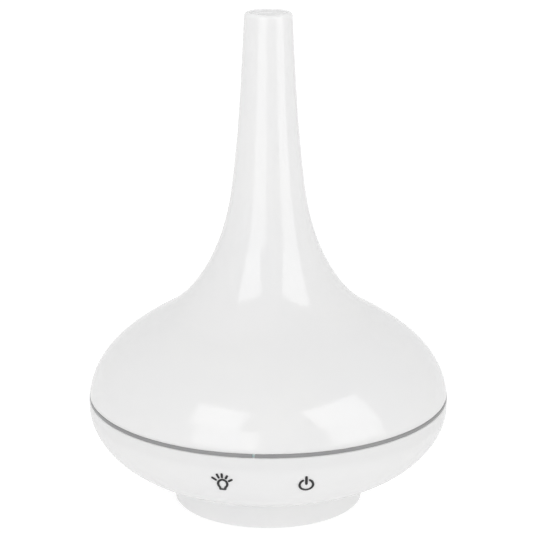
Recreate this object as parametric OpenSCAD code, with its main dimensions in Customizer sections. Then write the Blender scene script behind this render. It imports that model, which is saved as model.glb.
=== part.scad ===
// Flask-shaped ultrasonic cool mist humidifier, in millimetres.
// The origin is on the table, under the middle of the foot. +Z is up and the touch icons face -Y.

/* [Shell] */
// Height from the table to the rim of the neck
total_h = 230; // [210:1:276]
// Largest diameter of the bulb
body_d = 167.4; // [162:0.1:200.9]
// Height of the line where the cover meets the lower housing
joint_z = 51; // [50:0.5:56]
// Outside diameter at the top of the neck
neck_top_d = 21.4; // [19:0.2:27]
// Wall thickness of the cover, housing and foot
wall = 2.4; // [2:0.1:3]
// Height of the grey trim ring
ring_h = 1.6; // [1.2:0.1:2.2]
// Thickness of the trim ring, measured outwards
ring_t = 0.8; // [0.6:0.1:1.8]
// Width of the joint in the trim ring
ring_gap = 1.2; // [0.3:0.1:2]

/* [Foot] */
// Diameter of the foot where it meets the lower housing
foot_top_d = 95; // [93:0.5:114]
// Diameter of the foot at the table
foot_bottom_d = 88; // [86:0.2:92]
// Height of the joint between the foot and the lower housing
foot_top_z = 14.5; // [14.2:0.1:15]
// Diameter of each rubber foot
pad_d = 8; // [6:0.5:9]
// Height that the rubber feet stand out
pad_h = 0.4; // [0.3:0.1:1]

/* [Mist outlet] */
// Diameter of the mist nozzle in the neck
nozzle_d = 7.2; // [6:0.2:10]
// Length of the straight bore of the nozzle
nozzle_len = 6; // [4:0.5:10]
// Depth of the dish around the nozzle
dish_depth = 0.8; // [0.4:0.1:3]

/* [Water tank] */
// Inside diameter of the water basin
basin_d = 128; // [106:0.1:132]
// Height of the tank floor
tank_floor_z = 33; // [32.5:0.5:35]
// Thickness of the tank walls
tank_wall = 2; // [1.6:0.1:2.4]
// Height of the highest water level
max_level_z = 48; // [44:0.5:50]
// Height of the top of the air channel
air_channel_top_z = 57; // [54:0.5:60]

/* [Mist guide] */
// Bore of the mist chimney
chimney_bore = 20; // [14:0.5:24]
// Height of the top of the chimney
chimney_top_z = 106; // [90:1:112]
// Height of the shoulder between the dome and the chimney
dome_top_z = 76; // [72:0.5:82]

/* [Atomizer] */
// Diameter of the ceramic disc
disc_d = 20; // [16:0.5:20]
// Thickness of the ceramic disc
disc_h = 1.2; // [0.8:0.1:1.4]

/* [Fan] */
// Side of the square fan frame
fan_size = 30; // [25:0.5:30]
// Height of the fan frame
fan_h = 10; // [8:0.5:10]
// Distance of the fan axis in front of the middle
fan_offset = 23; // [22.5:0.5:24]
// Diameter of the fan shaft
shaft_d = 2; // [1.5:0.1:2.5]
// Number of fan blades
blade_count = 7; // [5:1:9]

/* [Clearances] */
// Radial running clearance of the fan shaft in its bush
shaft_clearance = 0.03; // [0.01:0.01:0.1]
// Gap between moulded parts that slip together
slip = 0.3; // [0.2:0.05:0.5]
// Radial clearance around screws in their passing holes
screw_clearance = 0.2; // [0.1:0.05:0.4]

/* [Hidden] */
$fn = 64;
tiny = 0.01;

// ---- Outline of the flask, as points [radius, height] from the foot up to the rim ----

function bezier(a, b, c, d, steps) =
    [for (i = [0:steps]) let (t = i / steps, s = 1 - t)
        s * s * s * a + 3 * s * s * t * b + 3 * s * t * t * c + t * t * t * d];
function leaning(angle) = [-sin(angle), cos(angle)];
function skip_first(points) = [for (i = [1:len(points) - 1]) points[i]];

body_r = body_d / 2;
foot_top_r = foot_top_d / 2;
foot_bottom_r = foot_bottom_d / 2;
neck_top_r = neck_top_d / 2;
widest_z = joint_z - 3.4;
shoulder = [body_r - 33.5, joint_z + 38.5];
shoulder_lean = 60.6;
neck_foot = [neck_top_r + 5.9, total_h - 79.6];
neck_foot_lean = 7.2;
neck_top_lean = 3;
neck_handle = (total_h - neck_foot[1]) * 0.36;

bowl_curve = bezier(
    [foot_top_r, foot_top_z], [foot_top_r + 10.8, foot_top_z],
    [body_r, widest_z - 20.5], [body_r, widest_z], 16);
bulb_curve = bezier(
    [body_r, widest_z], [body_r, widest_z + 18.2],
    shoulder - 24.1 * leaning(shoulder_lean), shoulder, 16);
flare_curve = bezier(
    shoulder, shoulder + 19.2 * leaning(shoulder_lean),
    neck_foot - 30.7 * leaning(neck_foot_lean), neck_foot, 16);
neck_curve = bezier(
    neck_foot, neck_foot + neck_handle * leaning(neck_foot_lean),
    [neck_top_r, total_h] - neck_handle * leaning(neck_top_lean), [neck_top_r, total_h], 8);
outline = concat(bowl_curve, skip_first(bulb_curve), skip_first(flare_curve), skip_first(neck_curve));

// The same line moved inwards, square to itself
function inset(line, distance) =
    [for (i = [0:len(line) - 1])
        let (along = line[min(i + 1, len(line) - 1)] - line[max(i - 1, 0)])
        line[i] + distance / norm(along) * [-along[1], along[0]]];
function radius_at(line, z) = lookup(z, [for (p = line) [p[1], p[0]]]);
function cut_line(line, low, high) = concat(
    [[radius_at(line, low), low]],
    [for (p = line) if (p[1] > low + 0.05 && p[1] < high - 0.05) p],
    [[radius_at(line, high), high]]);
function reversed(points) = [for (i = [len(points) - 1:-1:0]) points[i]];
function arc(centre, radius, from, to, steps) =
    [for (i = [0:steps]) let (angle = from + (to - from) * i / steps)
        centre + radius * [cos(angle), sin(angle)]];

inner_outline = inset(outline, wall);

// ---- Heights and radii that several parts share ----

ring_bottom_z = joint_z - ring_h / 2;
ring_top_z = joint_z + ring_h / 2;
tank_under_z = tank_floor_z - tank_wall;
basin_r = basin_d / 2;
basin_outer_r = basin_r + tank_wall;
flange_h = 1.6;
flange_r = radius_at(inner_outline, ring_bottom_z) - slip;
ledge_h = 2;
ledge_w = 5;
lip_h = 4;
lip_r = min(
    radius_at(inner_outline, ring_top_z), radius_at(inner_outline, ring_top_z + lip_h)) - 1.5 * slip;
lip_w = 1.8;
ring_inner_r = radius_at(outline, joint_z) - ring_t;
collar_r = ring_inner_r - slip / 2;
lid_rim_r = lip_r - lip_w - 3 * slip;
lid_h = 1.8;
lid_skirt_r = basin_r - 2 * slip;
lid_skirt_w = 1.6;
lid_skirt_h = 4;
chimney_r = chimney_bore / 2 + lid_h;

foot_floor_top_z = pad_h + 2;
foot_slope = (foot_top_r - foot_bottom_r) / (foot_top_z - pad_h);
foot_inner_r = foot_top_r - wall;
foot_spigot_h = 2;
foot_spigot_w = 1.2;
pad_recess = 1;
pad_circle_r = foot_bottom_r - 7.3;
pad_angles = [60, 120, 240, 300];

case_screw_r = 1.5;
case_head_r = 2.8;
case_head_h = 1.8;
case_post_r = 3.6;
case_circle_r = foot_bottom_r - 6.3;
case_angles = [45, 135, 225, 315];
case_joint_z = foot_top_z - 1.5;
case_head_z = foot_floor_top_z + 1;
case_screw_len = 20;

board_z = foot_top_z - 0.3;
board_t = 1.6;
board_r = 32;
board_back_y = -5;
board_top_z = board_z + board_t;
board_post_r = 2.4;
board_screws_at = [[29.6, 4], [-29.6, 4], [14, 26.4], [-14, 26.4]];
small_screw_r = 1;
small_head_r = 1.9;
small_head_h = 1.2;

seal_r = disc_d / 2 + 2;
seal_lip = 2;
seal_cheek = 0.9;
seat_z = tank_under_z - 3;
seal_h = disc_h + 2 * seal_cheek;
seal_z = seat_z - seal_h;
plate_h = 1.6;
plate_z = seal_z - plate_h;
plate_screw_circle_r = seal_r + 2.3;
plate_r = seal_r + 4.4;
plate_angles = [90, 210, 330];
seat_r = plate_r;
well_hole_r = disc_d / 2 - seal_lip;

led_board_z = tank_under_z - 5;
led_board_t = 1.6;
led_board_inner_r = 19;
led_board_outer_r = 26.4;
led_circle_r = 22.8;
led_angles = [0, 60, 120, 180, 240, 300];
led_screw_angles = [30, 150, 270];
led_size = 5;
led_h = 1.6;

fan_z = foot_floor_top_z + 2;
fan_top_z = fan_z + fan_h;
fan_bore_r = fan_size / 2 - 0.8;
fan_pitch = fan_size - 6;
fan_hub_r = 7.6;
fan_tip_r = fan_bore_r - 0.7;
fan_base_h = 1.4;
fan_tube_r = 2.6;
bush_r = 2;
shaft_r = shaft_d / 2;
rotor_floor_h = 1;
rotor_top_z = fan_top_z - 0.7;
rotor_bottom_z = fan_z + 3;
hub_wall = 0.8;
magnet_w = 1.2;
magnet_h = 4;
stator_r = fan_hub_r - hub_wall - magnet_w - 0.5;
stator_z = fan_z + 3.4;
stator_h = 2.2;
coil_count = 4;
fan_screw_r = 1.1;
fan_screw_head_r = 2;
fan_screw_head_h = 1.2;

duct_wall = 1.2;
collar_h = 1.5;
duct_round_r = min(fan_size / 2 - 0.7, fan_pitch / 2 * sqrt(2) - fan_screw_head_r - 0.5);
duct_straight_z = fan_top_z + collar_h + fan_screw_head_h + 0.4;
duct_top_z = tank_under_z - 1.5;
channel_y = -max(basin_r - 18, led_board_outer_r + 16);
channel_w = 22;
channel_d = 9;

jack_w = 9;
jack_h = 10;
jack_len = 14;
jack_axis_z = board_z - 5.4;
jack_face_y = foot_bottom_r + foot_slope * (jack_axis_z - pad_h) - 1.9;
jack_bore_r = 3.15;
jack_bore_len = 9.5;
jack_pin_r = 1;
jack_pin_len = 9;

touch_board_y = -(basin_outer_r + 3.1);
touch_board_w = 46;
touch_board_h = 11;
touch_board_t = 1.2;
touch_z = joint_z - 14.3;
touch_boss_x = 7;
touch_boss_r = 2.4;
lamp_x = -19.9;
power_x = 16.5;
spring_r = 3.2;

icon_t = 0.15;
icon_line = 1.1;
power_size = 7;

wire_r = 0.6;

// ---- Small shapes that repeat ----

module at_angles(angles, radius, z) {
    for (a = angles) translate([radius * cos(a), radius * sin(a), z]) children();
}

module oval(width, depth) {
    for (x = [-1, 1]) translate([x * (width - depth) / 2, 0]) circle(d = depth);
    square([width - depth, depth], center = true);
}

module tube(outer_r, inner_r, height) {
    difference() {
        cylinder(r = outer_r, h = height);
        translate([0, 0, -1]) cylinder(r = inner_r, h = height + 2);
    }
}

// A pan-head screw whose head sits on the plane z = 0, with its shank pointing up
module screw(shank_r, head_r, head_h, length) {
    difference() {
        union() {
            rotate_extrude() polygon(concat(
                [[0, 0], [head_r, 0]],
                arc([head_r - head_h * 0.6, -head_h * 0.4], head_h * 0.6, 0, -90, 4),
                [[0, -head_h]]));
            cylinder(r = shank_r, h = length);
        }
        for (a = [0, 90]) rotate(a) translate([-head_r * 0.6, -0.25, -head_h - 1])
            cube([head_r * 1.2, 0.5, 1 + head_h * 0.5]);
    }
}

// A round wire along a curve; each point carries a ring of corners square to the path.
// The rings are turned to one direction, across, that the wire never runs along.
module wire(path, first_way, last_way, across, radius) {
    sides = 8;
    count = len(path);
    along = concat([first_way], [for (i = [1:count - 2]) path[i + 1] - path[i - 1]], [last_way]);
    corners = [for (i = [0:count - 1])
        let (side = cross(along[i], across), u = side / norm(side),
            raised = cross(along[i], u), v = raised / norm(raised))
        for (k = [0:sides - 1]) path[i] + radius * (cos(k * 360 / sides) * u + sin(k * 360 / sides) * v)];
    skin = [for (i = [0:count - 2], k = [0:sides - 1], half = [0, 1])
        let (a = i * sides, b = a + sides, next = (k + 1) % sides)
        half == 0 ? [a + k, b + k, b + next] : [a + k, b + next, a + next]];
    first_end = [for (k = [0:sides - 1]) k];
    last_end = [for (k = [sides - 1:-1:0]) (count - 1) * sides + k];
    polyhedron(points = corners, faces = concat([first_end], skin, [last_end]));
}

// ---- Casing ----

module top_cover() {
    rim_round = 1.6;
    lead_in = 1.2;
    nozzle_r = nozzle_d / 2;
    nozzle_outer_r = nozzle_r + 1.4;
    rim_inner_r = neck_top_r - 1.7;
    dish_z = total_h - dish_depth;
    outer = cut_line(outline, ring_top_z, total_h - rim_round);
    inner = cut_line(inner_outline, ring_top_z, total_h - dish_depth - 3.2);
    rim = arc([outer[len(outer) - 1][0] - rim_round, total_h - rim_round], rim_round, 15, 90, 5);
    color("ghostwhite") rotate_extrude() polygon(concat(
        outer, rim,
        [[rim_inner_r, total_h], [rim_inner_r - 0.3, dish_z + 0.3], [nozzle_r + lead_in, dish_z],
         [nozzle_r, dish_z - lead_in], [nozzle_r, dish_z - nozzle_len], [nozzle_outer_r, dish_z - nozzle_len],
         [nozzle_outer_r, dish_z - 2.2]],
        reversed(inner)));
}

module trim_ring() {
    outer_r = ring_inner_r + ring_t;
    inner_r = ring_inner_r;
    color("darkgray") difference() {
        rotate_extrude() polygon(concat(
            [[inner_r, ring_bottom_z], [outer_r - 0.3, ring_bottom_z], [outer_r, ring_bottom_z + 0.3],
             [outer_r, ring_top_z - 0.3], [outer_r - 0.3, ring_top_z], [inner_r, ring_top_z]]));
        rotate(-94.4) translate([inner_r - 1, -ring_gap / 2, ring_bottom_z - 1])
            cube([outer_r - inner_r + 2, ring_gap, ring_h + 2]);
    }
}

module lower_housing() {
    outer = cut_line(outline, foot_top_z + tiny, ring_bottom_z);
    inner = cut_line(inner_outline, foot_top_z + wall + tiny, ring_bottom_z);
    ledge_top_z = ring_bottom_z - flange_h;
    ledge_bottom_z = ledge_top_z - ledge_h;
    ledge_inner_r = flange_r - ledge_w;
    color("whitesmoke") {
        difference() {
            union() {
                rotate_extrude() polygon(concat(
                    [[foot_inner_r, foot_top_z]], [[foot_top_r, foot_top_z]], skip_first(outer),
                    reversed(inner), [[foot_inner_r, foot_top_z + wall]]));
                rotate_extrude() polygon([
                    [ledge_inner_r, ledge_bottom_z + 1], [ledge_inner_r, ledge_top_z],
                    [radius_at(outline, ledge_top_z) - wall / 2, ledge_top_z],
                    [radius_at(outline, ledge_bottom_z) - wall / 2, ledge_bottom_z - 2],
                    [radius_at(inner_outline, ledge_bottom_z) - 1, ledge_bottom_z - 2]]);
                intersection() {
                    for (x = [-1, 1]) translate([x * touch_boss_x, touch_board_y - touch_board_t, touch_z])
                        rotate([90, 0, 0]) cylinder(r = touch_boss_r, h = body_r);
                    rotate_extrude() polygon(concat([[0, foot_top_z + 5]],
                        cut_line(inset(outline, wall / 2), foot_top_z + 5, ring_bottom_z - 2),
                        [[0, ring_bottom_z - 2]]));
                }
            }
            for (x = [-1, 1]) translate([x * touch_boss_x, touch_board_y - touch_board_t + 1, touch_z])
                rotate([90, 0, 0]) cylinder(r = small_screw_r, h = 6);
        }
    }
}

module foot_cover() {
    floor_round = 0.4;
    floor_inner_r = foot_bottom_r - wall + foot_slope * (foot_floor_top_z - pad_h);
    spigot_top_z = foot_top_z + foot_spigot_h;
    spigot_r = foot_inner_r - slip / 2;
    grille_r = fan_bore_r - 1.4;
    slot_w = 2;
    slot_pitch = 4;
    side_slots = floor((grille_r - 0.7) / slot_pitch);
    notch_w = jack_w + 2 * slip;
    color("gainsboro") difference() {
        union() {
            rotate_extrude() polygon(concat(
                [[0, pad_h]],
                arc([foot_bottom_r - floor_round, pad_h + floor_round], floor_round, -90, 0, 5),
                [[foot_top_r, foot_top_z], [spigot_r, foot_top_z], [spigot_r, spigot_top_z],
                 [spigot_r - foot_spigot_w, spigot_top_z], [spigot_r - foot_spigot_w, foot_top_z - 1],
                 [floor_inner_r, foot_floor_top_z], [0, foot_floor_top_z]]));
            at_angles(case_angles, case_circle_r, foot_floor_top_z - tiny)
                cylinder(r = case_post_r, h = case_joint_z - foot_floor_top_z + tiny);
            for (x = [-1, 1], y = [-1, 1])
                translate([x * fan_pitch / 2, y * fan_pitch / 2 - fan_offset, foot_floor_top_z - tiny])
                    cylinder(r = 2.4, h = fan_z - foot_floor_top_z + tiny);
        }
        at_angles(case_angles, case_circle_r, 0) {
            cylinder(r = case_screw_r + screw_clearance, h = case_joint_z + 1);
            cylinder(r = case_head_r + screw_clearance, h = case_head_z);
        }
        for (x = [-1, 1], y = [-1, 1])
            translate([x * fan_pitch / 2, y * fan_pitch / 2 - fan_offset, pad_h + 0.7])
                cylinder(r = fan_screw_r, h = fan_z);
        for (i = [-side_slots:side_slots]) let (half = sqrt(grille_r * grille_r - i * i * slot_pitch * slot_pitch) - slot_w / 2)
            translate([i * slot_pitch, -fan_offset, pad_h - 1]) linear_extrude(4)
                rotate(90) oval(2 * half, slot_w);
        at_angles(pad_angles, pad_circle_r, pad_h - 1) cylinder(d = pad_d + 0.2, h = 1 + pad_recess);
        translate([-notch_w / 2, foot_floor_top_z + 20, board_z - jack_h - slip])
            cube([notch_w, foot_top_r, spigot_top_z]);
    }
}

module foot_pads() {
    edge = 0.4;
    color("dimgray") at_angles(pad_angles, pad_circle_r, 0)
        rotate_extrude() polygon([
            [0, 0], [pad_d / 2 - edge, 0], [pad_d / 2, edge],
            [pad_d / 2, pad_h + pad_recess], [0, pad_h + pad_recess]]);
}

module case_screws() {
    color("silver") at_angles(case_angles, case_circle_r, case_head_z)
        screw(case_screw_r, case_head_r, case_head_h, case_screw_len);
}

// ---- Water tank and mist guide ----

module water_tank() {
    corner = 3;
    floor_dish_r = well_hole_r + 6;
    lip_top_z = ring_top_z + lip_h;
    rib_h = 0.8;
    color("white", 0.9) difference() {
        union() {
            rotate_extrude() polygon(concat(
                [[well_hole_r, seat_z], [seat_r, seat_z], [seat_r, tank_under_z]],
                arc([basin_outer_r - corner, tank_under_z + corner], corner, -90, 0, 5),
                [[basin_outer_r, ring_bottom_z - flange_h], [flange_r, ring_bottom_z - flange_h],
                 [flange_r, ring_bottom_z],
                 [collar_r, ring_bottom_z], [collar_r, ring_top_z - 0.1], [lip_r, ring_top_z - 0.1],
                 [lip_r, lip_top_z],
                 [lip_r - lip_w, lip_top_z], [lip_r - lip_w, ring_bottom_z], [basin_r, ring_bottom_z]],
                arc([basin_r - corner, tank_floor_z + corner], corner, 0, -90, 5),
                [[floor_dish_r, tank_floor_z], [well_hole_r + 1, seat_z + 2], [well_hole_r, seat_z + 2]]));
            translate([0, channel_y, tank_under_z + tiny])
                linear_extrude(air_channel_top_z - tank_under_z)
                    oval(channel_w + 2 * tank_wall, channel_d + 2 * tank_wall);
            translate([-channel_w / 4, channel_y + channel_d / 2 + tank_wall - 0.3, max_level_z - rib_h / 2])
                cube([channel_w / 2, 0.3 + rib_h, rib_h]);
            at_angles(case_angles, case_circle_r, case_joint_z)
                cylinder(r = case_post_r, h = tank_under_z - case_joint_z + 1);
            for (at = board_screws_at) translate([at[0], at[1], board_top_z])
                cylinder(r = board_post_r, h = tank_under_z - board_top_z + 1);
            at_angles(led_screw_angles, led_circle_r, led_board_z + led_board_t)
                cylinder(r = 2.2, h = tank_under_z - led_board_z - led_board_t + 1);
            at_angles(plate_angles, plate_screw_circle_r, seal_z)
                cylinder(r = 1.9, h = seat_z - seal_z + 1);
        }
        translate([0, channel_y, tank_under_z - 1]) linear_extrude(air_channel_top_z)
            oval(channel_w, channel_d);
        at_angles(case_angles, case_circle_r, case_joint_z - 1)
            cylinder(r = case_screw_r, h = case_head_z + case_screw_len - case_joint_z + 1.5);
        for (at = board_screws_at) translate([at[0], at[1], board_top_z - 1])
            cylinder(r = small_screw_r, h = 8);
        at_angles(led_screw_angles, led_circle_r, led_board_z)
            cylinder(r = small_screw_r, h = tank_under_z - led_board_z);
        at_angles(plate_angles, plate_screw_circle_r, seal_z - 1)
            cylinder(r = small_screw_r, h = 5);
    }
}

module inner_lid() {
    rim_z = ring_bottom_z;
    skirt_in_r = lid_skirt_r - lid_skirt_w;
    drip_z = dome_top_z - 6;
    dome = bezier([skirt_in_r + lid_h, rim_z + lid_h], [skirt_in_r + lid_h, rim_z + lid_h + 12],
        [chimney_r + 21, dome_top_z - 1], [chimney_r + 1.5, dome_top_z], 12);
    color("whitesmoke", 0.85) rotate_extrude() polygon(concat(
        [[lid_rim_r, rim_z], [lid_rim_r, rim_z + lid_h]], dome,
        [[chimney_r, dome_top_z + 1.5], [chimney_r, chimney_top_z - 0.6],
         [chimney_r - 0.6, chimney_top_z], [chimney_bore / 2, chimney_top_z],
         [chimney_bore / 2, drip_z], [chimney_r - 0.2, drip_z], [chimney_r - 0.2, dome_top_z - lid_h]],
        reversed(inset(dome, lid_h)),
        [[skirt_in_r, rim_z - lid_skirt_h], [lid_skirt_r, rim_z - lid_skirt_h], [lid_skirt_r, rim_z]]));
}

// ---- Atomizer and lamp ----

module transducer_disc() {
    color("gold") translate([0, 0, seal_z + seal_cheek]) cylinder(d = disc_d, h = disc_h);
}

module transducer_seal() {
    disc_z = seal_z + seal_cheek;
    color("dimgray") rotate_extrude() polygon([
        [disc_d / 2 - seal_lip, seal_z], [seal_r, seal_z], [seal_r, seat_z], [well_hole_r, seat_z],
        [well_hole_r, disc_z + disc_h], [disc_d / 2, disc_z + disc_h], [disc_d / 2, disc_z],
        [disc_d / 2 - seal_lip, disc_z]]);
}

module transducer_plate() {
    color("silver") difference() {
        translate([0, 0, plate_z]) cylinder(r = plate_r, h = plate_h);
        translate([0, 0, plate_z - 1]) cylinder(r = disc_d / 2 - seal_lip, h = plate_h + 2);
        at_angles(plate_angles, plate_screw_circle_r, plate_z - 1)
            cylinder(r = small_screw_r + screw_clearance, h = plate_h + 2);
    }
}

module transducer_screws() {
    color("silver") at_angles(plate_angles, plate_screw_circle_r, plate_z)
        screw(small_screw_r, small_head_r, small_head_h, plate_h + 3.5);
}

module led_board() {
    color("darkgreen") translate([0, 0, led_board_z]) difference() {
        tube(led_board_outer_r, led_board_inner_r, led_board_t);
        at_angles(led_screw_angles, led_circle_r, -1)
            cylinder(r = small_screw_r + screw_clearance, h = led_board_t + 2);
    }
}

module leds() {
    lens_r = 1.8;
    color("ivory") for (a = led_angles) rotate(a)
        translate([led_circle_r, 0, led_board_z + led_board_t]) {
            translate([-led_size / 2, -led_size / 2, 0]) cube([led_size, led_size, led_h]);
            translate([0, 0, led_h]) cylinder(r1 = lens_r, r2 = lens_r - 0.4, h = 0.4);
        }
}

module led_screws() {
    color("silver") at_angles(led_screw_angles, led_circle_r, led_board_z)
        screw(small_screw_r, small_head_r, small_head_h, led_board_t + 2.8);
}

// ---- Air path ----

module duct_body(wall_in, extra) {
    upper_w = channel_w + 2 * (duct_wall - wall_in);
    upper_d = channel_d + 2 * (duct_wall - wall_in);
    translate([0, -fan_offset, fan_top_z + collar_h - extra])
        cylinder(r = duct_round_r - wall_in, h = duct_straight_z - fan_top_z - collar_h + extra, $fn = 32);
    hull() {
        translate([0, -fan_offset, duct_straight_z - tiny])
            linear_extrude(tiny) circle(r = duct_round_r - wall_in, $fn = 32);
        translate([0, channel_y, duct_top_z - 1.5])
            linear_extrude(1.5 + extra) oval(upper_w, upper_d, $fn = 32);
    }
}

module air_duct() {
    color("whitesmoke") difference() {
        union() {
            translate([-fan_size / 2, -fan_offset - fan_size / 2, fan_top_z])
                cube([fan_size, fan_size, collar_h]);
            duct_body(0, 0);
        }
        duct_body(duct_wall, tiny);
        translate([0, -fan_offset, fan_top_z - 1])
            cylinder(r = duct_round_r - duct_wall, h = collar_h + 1.5, $fn = 32);
        for (x = [-1, 1], y = [-1, 1])
            translate([x * fan_pitch / 2, y * fan_pitch / 2 - fan_offset, fan_top_z - 1])
                cylinder(r = fan_screw_r + screw_clearance, h = collar_h + 1 + tiny);
    }
}

module duct_seal() {
    color("dimgray") translate([0, channel_y, duct_top_z])
        linear_extrude(tank_under_z - duct_top_z) difference() {
            oval(channel_w + 2 * tank_wall, channel_d + 2 * tank_wall);
            oval(channel_w, channel_d);
        }
}

// ---- Fan ----

module at_fan(z) {
    translate([0, -fan_offset, z]) children();
}

module fan_frame() {
    strut_w = 1.6;
    color("black") at_fan(fan_z) difference() {
        union() {
            difference() {
                translate([-fan_size / 2, -fan_size / 2, 0]) cube([fan_size, fan_size, fan_h]);
                translate([0, 0, -1]) cylinder(r = fan_bore_r, h = fan_h + 2);
            }
            cylinder(r = fan_hub_r, h = fan_base_h);
            cylinder(r = fan_tube_r, h = stator_z - fan_z + stator_h + 1.5);
            for (a = [45, 165, 285]) rotate(a) translate([fan_hub_r - 1, -strut_w / 2, 0])
                cube([fan_bore_r - fan_hub_r + 1.6, strut_w, fan_base_h]);
        }
        translate([0, 0, 0.6]) cylinder(r = bush_r, h = fan_h);
        for (x = [-1, 1], y = [-1, 1]) translate([x * fan_pitch / 2, y * fan_pitch / 2, -1])
            cylinder(r = fan_screw_r + screw_clearance, h = fan_h + 2);
    }
}

module fan_bush() {
    bush_z = fan_z + 0.6;
    color("darkgoldenrod") at_fan(bush_z)
        tube(bush_r, shaft_r + shaft_clearance, stator_z + stator_h + 1.2 - bush_z);
}

module fan_shaft() {
    shaft_z = fan_z + 0.9;
    color("silver") at_fan(shaft_z) cylinder(r = shaft_r, h = rotor_top_z - shaft_z - 0.4);
}

module fan_stator() {
    color("slategray") at_fan(stator_z) difference() {
        union() {
            cylinder(r = fan_tube_r + 0.8, h = stator_h);
            for (i = [0:coil_count - 1]) rotate(i * 360 / coil_count) {
                translate([0, -0.6, 0]) cube([stator_r - 0.5, 1.2, stator_h]);
                intersection() {
                    tube(stator_r, stator_r - 0.7, stator_h);
                    translate([0, -1.7, 0]) cube([stator_r + 1, 3.4, stator_h]);
                }
            }
        }
        translate([0, 0, -1]) cylinder(r = fan_tube_r, h = stator_h + 2);
    }
}

module fan_coils() {
    coil_w = 2.4;
    coil_extra = 0.5;
    inner = fan_tube_r + 0.9;
    color("chocolate") at_fan(stator_z) for (i = [0:coil_count - 1]) rotate(i * 360 / coil_count)
        difference() {
            translate([inner, -coil_w / 2, -coil_extra])
                cube([stator_r - 0.9 - inner, coil_w, stator_h + 2 * coil_extra]);
            translate([inner - 1, -0.6, 0]) cube([stator_r, 1.2, stator_h]);
        }
}

module fan_rotor() {
    blade_t = 0.9;
    blade_pitch = 38;
    blade_h = rotor_top_z - rotor_bottom_z;
    color("dimgray") at_fan(0) {
        difference() {
            translate([0, 0, rotor_bottom_z]) cylinder(r = fan_hub_r, h = blade_h);
            translate([0, 0, rotor_bottom_z - 1])
                cylinder(r = fan_hub_r - hub_wall, h = blade_h + 1 - rotor_floor_h);
            translate([0, 0, rotor_bottom_z]) cylinder(r = shaft_r, h = blade_h - 0.4);
        }
        intersection() {
            translate([0, 0, rotor_bottom_z]) tube(fan_tip_r, fan_hub_r - 0.2, blade_h);
            for (i = [0:blade_count - 1]) rotate(i * 360 / blade_count)
                translate([fan_hub_r - 1, 0, (rotor_top_z + rotor_bottom_z) / 2]) rotate([blade_pitch, 0, 0])
                    translate([0, -blade_t / 2, -blade_h]) cube([fan_bore_r, blade_t, 2 * blade_h]);
        }
    }
}

module fan_magnet() {
    ring_r = fan_hub_r - hub_wall;
    color("gray") at_fan(rotor_bottom_z) tube(ring_r, ring_r - magnet_w, magnet_h);
}

module fan_screws() {
    color("silver") for (x = [-1, 1], y = [-1, 1])
        translate([x * fan_pitch / 2, y * fan_pitch / 2 - fan_offset, fan_top_z + collar_h])
            rotate([180, 0, 0]) screw(fan_screw_r, fan_screw_head_r, fan_screw_head_h,
                fan_top_z + collar_h - pad_h - 0.9);
}

// ---- Electronics ----

module main_board() {
    tongue_w = jack_w + 3;
    color("darkgreen") translate([0, 0, board_z]) difference() {
        linear_extrude(board_t) {
            intersection() {
                circle(r = board_r);
                translate([-board_r, board_back_y]) square([2 * board_r, 2 * board_r]);
            }
            translate([-tongue_w / 2, board_r - 6]) square([tongue_w, jack_face_y - 4 - board_r + 6]);
        }
        for (at = board_screws_at) translate([at[0], at[1], -1])
            cylinder(r = small_screw_r + screw_clearance, h = board_t + 2);
    }
}

module board_screws() {
    color("silver") for (at = board_screws_at) translate([at[0], at[1], board_z])
        screw(small_screw_r, small_head_r, small_head_h, board_t + 5);
}

// Sockets for the plugged leads: [x, y, number of ways, angle of the row]
sockets_at = [[-24, -1, 2, 0], [-20, 15, 2, 90], [19, 14, 3, 90], [24, -1, 3, 0]];
socket_h = 4.2;
socket_d = 4.4;
socket_pitch = 2;

module board_sockets() {
    color("ivory") for (at = sockets_at) let (w = at[2] * socket_pitch + 1.6)
        translate([at[0], at[1], board_top_z]) rotate(at[3]) difference() {
            translate([-w / 2, -socket_d / 2, 0]) cube([w, socket_d, socket_h]);
            translate([-w / 2 + 0.6, -socket_d / 2 + 0.6, socket_h - 0.6]) cube([w - 1.2, socket_d - 1.2, 1]);
        }
}

module heat_sink() {
    fin_count = 6;
    fin_h = 8;
    sink_w = 17;
    color("silver") translate([5.5, 1, board_z - fin_h]) {
        cube([sink_w, 1.4, fin_h]);
        for (i = [0:fin_count - 1]) translate([i * (sink_w - 1) / (fin_count - 1), 1.3, 0])
            cube([1, 6, fin_h]);
    }
}

module power_transistor() {
    color("darkslategray") translate([9, 1, board_z]) {
        translate([0, -2.3, -7.6]) cube([6.6, 2.3, 6.2]);
        for (i = [0:2]) translate([1 + i * 2.1, -1.5, -1.5]) cube([0.6, 0.6, 1.5]);
    }
}

module inductors() {
    color("darkslateblue") for (at = [[-12, 20], [12, 17]])
        translate([at[0], at[1], board_z]) mirror([0, 0, 1]) {
            tube(4, 1, 1);
            translate([0, 0, 1]) cylinder(r = 2.9, h = 4);
            translate([0, 0, 5]) cylinder(r = 4, h = 1);
        }
}

module capacitors() {
    color("midnightblue") for (at = [[-22, 7, 3.2], [-13, 8, 3.2], [-3, 22, 2.5]])
        translate([at[0], at[1], board_z]) mirror([0, 0, 1]) rotate_extrude() polygon([
            [0, 0], [at[2], 0], [at[2], 1], [at[2] - 0.25, 1.3], [at[2], 1.6],
            [at[2], 7.8], [at[2] - 0.3, 8.1], [0, 8.1]]);
}

module controller_chip() {
    body_w = 3.9;
    body_len = 8.6;
    pins = 7;
    color("darkslategray") translate([-1, 8, board_z]) mirror([0, 0, 1]) {
        translate([-body_w / 2, -body_len / 2, 0.2]) cube([body_w, body_len, 1.4]);
        for (side = [-1, 1], i = [0:pins - 1])
            translate([side * (body_w / 2 + 0.5) - 0.6, (i - (pins - 1) / 2) * 1.27 - 0.2, 0])
                cube([1.2, 0.4, 0.5]);
    }
}

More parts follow.
